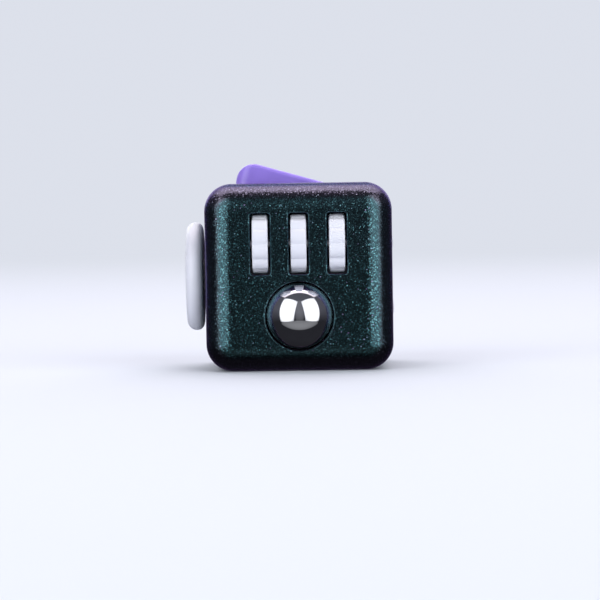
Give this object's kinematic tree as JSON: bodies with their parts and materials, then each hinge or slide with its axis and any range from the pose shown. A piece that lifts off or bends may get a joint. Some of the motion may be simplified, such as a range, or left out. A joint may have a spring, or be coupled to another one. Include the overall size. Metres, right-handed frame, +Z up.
{
  "type": "fidget cube",
  "caption": "Pocket fidget cube with rolling wheels and ball, spinning disc, flip rocker, click buttons, thumb stick and thumb hollow.",
  "frame": {"origin": "centre of the flat rim of the underside, where the cube rests", "axes": "+X towards the click buttons, -X towards the spinning disc, -Y towards the rolling wheels, +Y towards the thumb stick, +Z up towards the flip rocker"},
  "size_m": [0.037, 0.0422, 0.0365],
  "materials": {
    "case_paint": "moulded plastic under a dark teal metallic flake lacquer, with a violet sheen at grazing angles",
    "white_plastic": "cool white moulded plastic, satin gloss",
    "purple_plastic": "violet moulded plastic, satin gloss",
    "purple_rubber": "violet soft-touch rubber",
    "chrome_ball": "polished bearing ball",
    "steel": "ground steel pins and screws",
    "spring_steel": "bright spring steel",
    "nylon": "natural nylon",
    "silicone": "translucent grey silicone",
    "inner_plastic": "black moulded plastic"
  },
  "bodies": {
    "housing": {"body_shell": "case_paint", "rear_cover": "case_paint", "roll_carrier": "inner_plastic", "carrier_screws": "steel", "wheel_spring": "spring_steel", "gear_axle": "steel", "ball_dome": "spring_steel", "spin_bushing": "nylon", "rocker_pin": "steel", "rocker_spring": "spring_steel", "click_board": "inner_plastic", "click_screws": "steel", "snap_dome_1": "spring_steel", "snap_dome_2": "spring_steel", "snap_dome_3": "spring_steel", "soft_dome_4": "silicone", "soft_dome_5": "silicone", "stick_housing": "inner_plastic", "housing_screws": "steel", "stick_spring": "spring_steel", "gimbal_pins": "steel"},
    "wheel_left": {"roll_wheel_left": "white_plastic"},
    "wheel_middle": {"roll_wheel_middle": "white_plastic"},
    "wheel_right": {"roll_wheel_right": "white_plastic"},
    "cradle": {"ball_cradle": "inner_plastic"},
    "seat_ring": {"ball_seat_ring": "nylon"},
    "ball": {"roll_ball": "chrome_ball"},
    "spinner": {"spin_disc": "white_plastic", "spin_pin": "steel", "spin_clip": "spring_steel"},
    "rocker": {"flip_rocker": "purple_plastic"},
    "plunger": {"rocker_plunger": "nylon"},
    "button_1": {"click_button_1": "purple_plastic"},
    "button_2": {"click_button_2": "white_plastic"},
    "button_3": {"click_button_3": "white_plastic"},
    "button_4": {"click_button_4": "white_plastic"},
    "button_5": {"click_button_5": "white_plastic"},
    "gimbal": {"stick_gimbal": "nylon", "stem_pin": "steel"},
    "stick": {"stick_cap": "purple_rubber", "stick_stem": "white_plastic"},
    "righting_plate": {"centering_plate": "steel"}
  },
  "joints": [
    {"name": "roll_wheel_left_turn", "type": "hinge", "parent": "housing", "child": "wheel_left", "pos_m": [-0.00672, -0.0138, 0.0224], "axis": [1, 0, 0], "continuous": true},
    {"name": "roll_wheel_middle_turn", "type": "hinge", "parent": "housing", "child": "wheel_middle", "pos_m": [0, -0.0138, 0.0224], "axis": [1, 0, 0], "continuous": true},
    {"name": "roll_wheel_right_turn", "type": "hinge", "parent": "housing", "child": "wheel_right", "pos_m": [0.00672, -0.0138, 0.0224], "axis": [1, 0, 0], "continuous": true},
    {"name": "ball_press", "type": "slide", "parent": "housing", "child": "cradle", "axis": [0, 1, 0], "range_m": [0, 0.0008], "stiffness_N_per_m": 600, "springref_m": -0.0006, "deforming": ["ball_dome"]},
    {"name": "ball_roll_about_y", "type": "hinge", "parent": "cradle", "child": "seat_ring", "pos_m": [0, -0.01496, 0.0098], "axis": [0, 1, 0], "continuous": true},
    {"name": "ball_roll_about_x", "type": "hinge", "parent": "seat_ring", "child": "ball", "pos_m": [0, -0.01496, 0.0098], "axis": [1, 0, 0], "continuous": true},
    {"name": "spinner_turn", "type": "hinge", "parent": "housing", "child": "spinner", "pos_m": [-0.0165, 0, 0.0165], "axis": [-1, 0, 0], "continuous": true},
    {"name": "rocker_flip", "type": "hinge", "parent": "housing", "child": "rocker", "pos_m": [0, 0, 0.03107], "axis": [0, -1, 0], "range_deg": [0, 32]},
    {"name": "plunger_travel", "type": "slide", "parent": "housing", "child": "plunger", "axis": [0, 0, -1], "range_m": [0, 0.0004], "stiffness_N_per_m": 300, "springref_m": -0.001, "deforming": ["rocker_spring"]},
    {"name": "button_1_press", "type": "slide", "parent": "housing", "child": "button_1", "axis": [-1, 0, 0], "range_m": [0, 0.0009], "stiffness_N_per_m": 500, "springref_m": -0.0006, "deforming": ["snap_dome_1"]},
    {"name": "button_2_press", "type": "slide", "parent": "housing", "child": "button_2", "axis": [-1, 0, 0], "range_m": [0, 0.0009], "stiffness_N_per_m": 500, "springref_m": -0.0006, "deforming": ["snap_dome_2"]},
    {"name": "button_3_press", "type": "slide", "parent": "housing", "child": "button_3", "axis": [-1, 0, 0], "range_m": [0, 0.0009], "stiffness_N_per_m": 500, "springref_m": -0.0006, "deforming": ["snap_dome_3"]},
    {"name": "button_4_press", "type": "slide", "parent": "housing", "child": "button_4", "axis": [-1, 0, 0], "range_m": [0, 0.0009], "stiffness_N_per_m": 250, "springref_m": -0.0006, "deforming": ["soft_dome_4"]},
    {"name": "button_5_press", "type": "slide", "parent": "housing", "child": "button_5", "axis": [-1, 0, 0], "range_m": [0, 0.0009], "stiffness_N_per_m": 250, "springref_m": -0.0006, "deforming": ["soft_dome_5"]},
    {"name": "stick_tilt_up_down", "type": "hinge", "parent": "housing", "child": "gimbal", "pos_m": [0, 0.008, 0.0165], "axis": [1, 0, 0], "range_deg": [-13, 13], "stiffness_Nm_per_rad": 0.01},
    {"name": "stick_tilt_sideways", "type": "hinge", "parent": "gimbal", "child": "stick", "pos_m": [0, 0.008, 0.0165], "axis": [0, 0, 1], "range_deg": [-13, 13], "stiffness_Nm_per_rad": 0.01},
    {"name": "righting_plate_travel", "type": "slide", "parent": "housing", "child": "righting_plate", "axis": [0, -1, 0], "range_m": [0, 0.0002], "stiffness_N_per_m": 300, "springref_m": -0.001, "deforming": ["stick_spring"]}
  ]
}
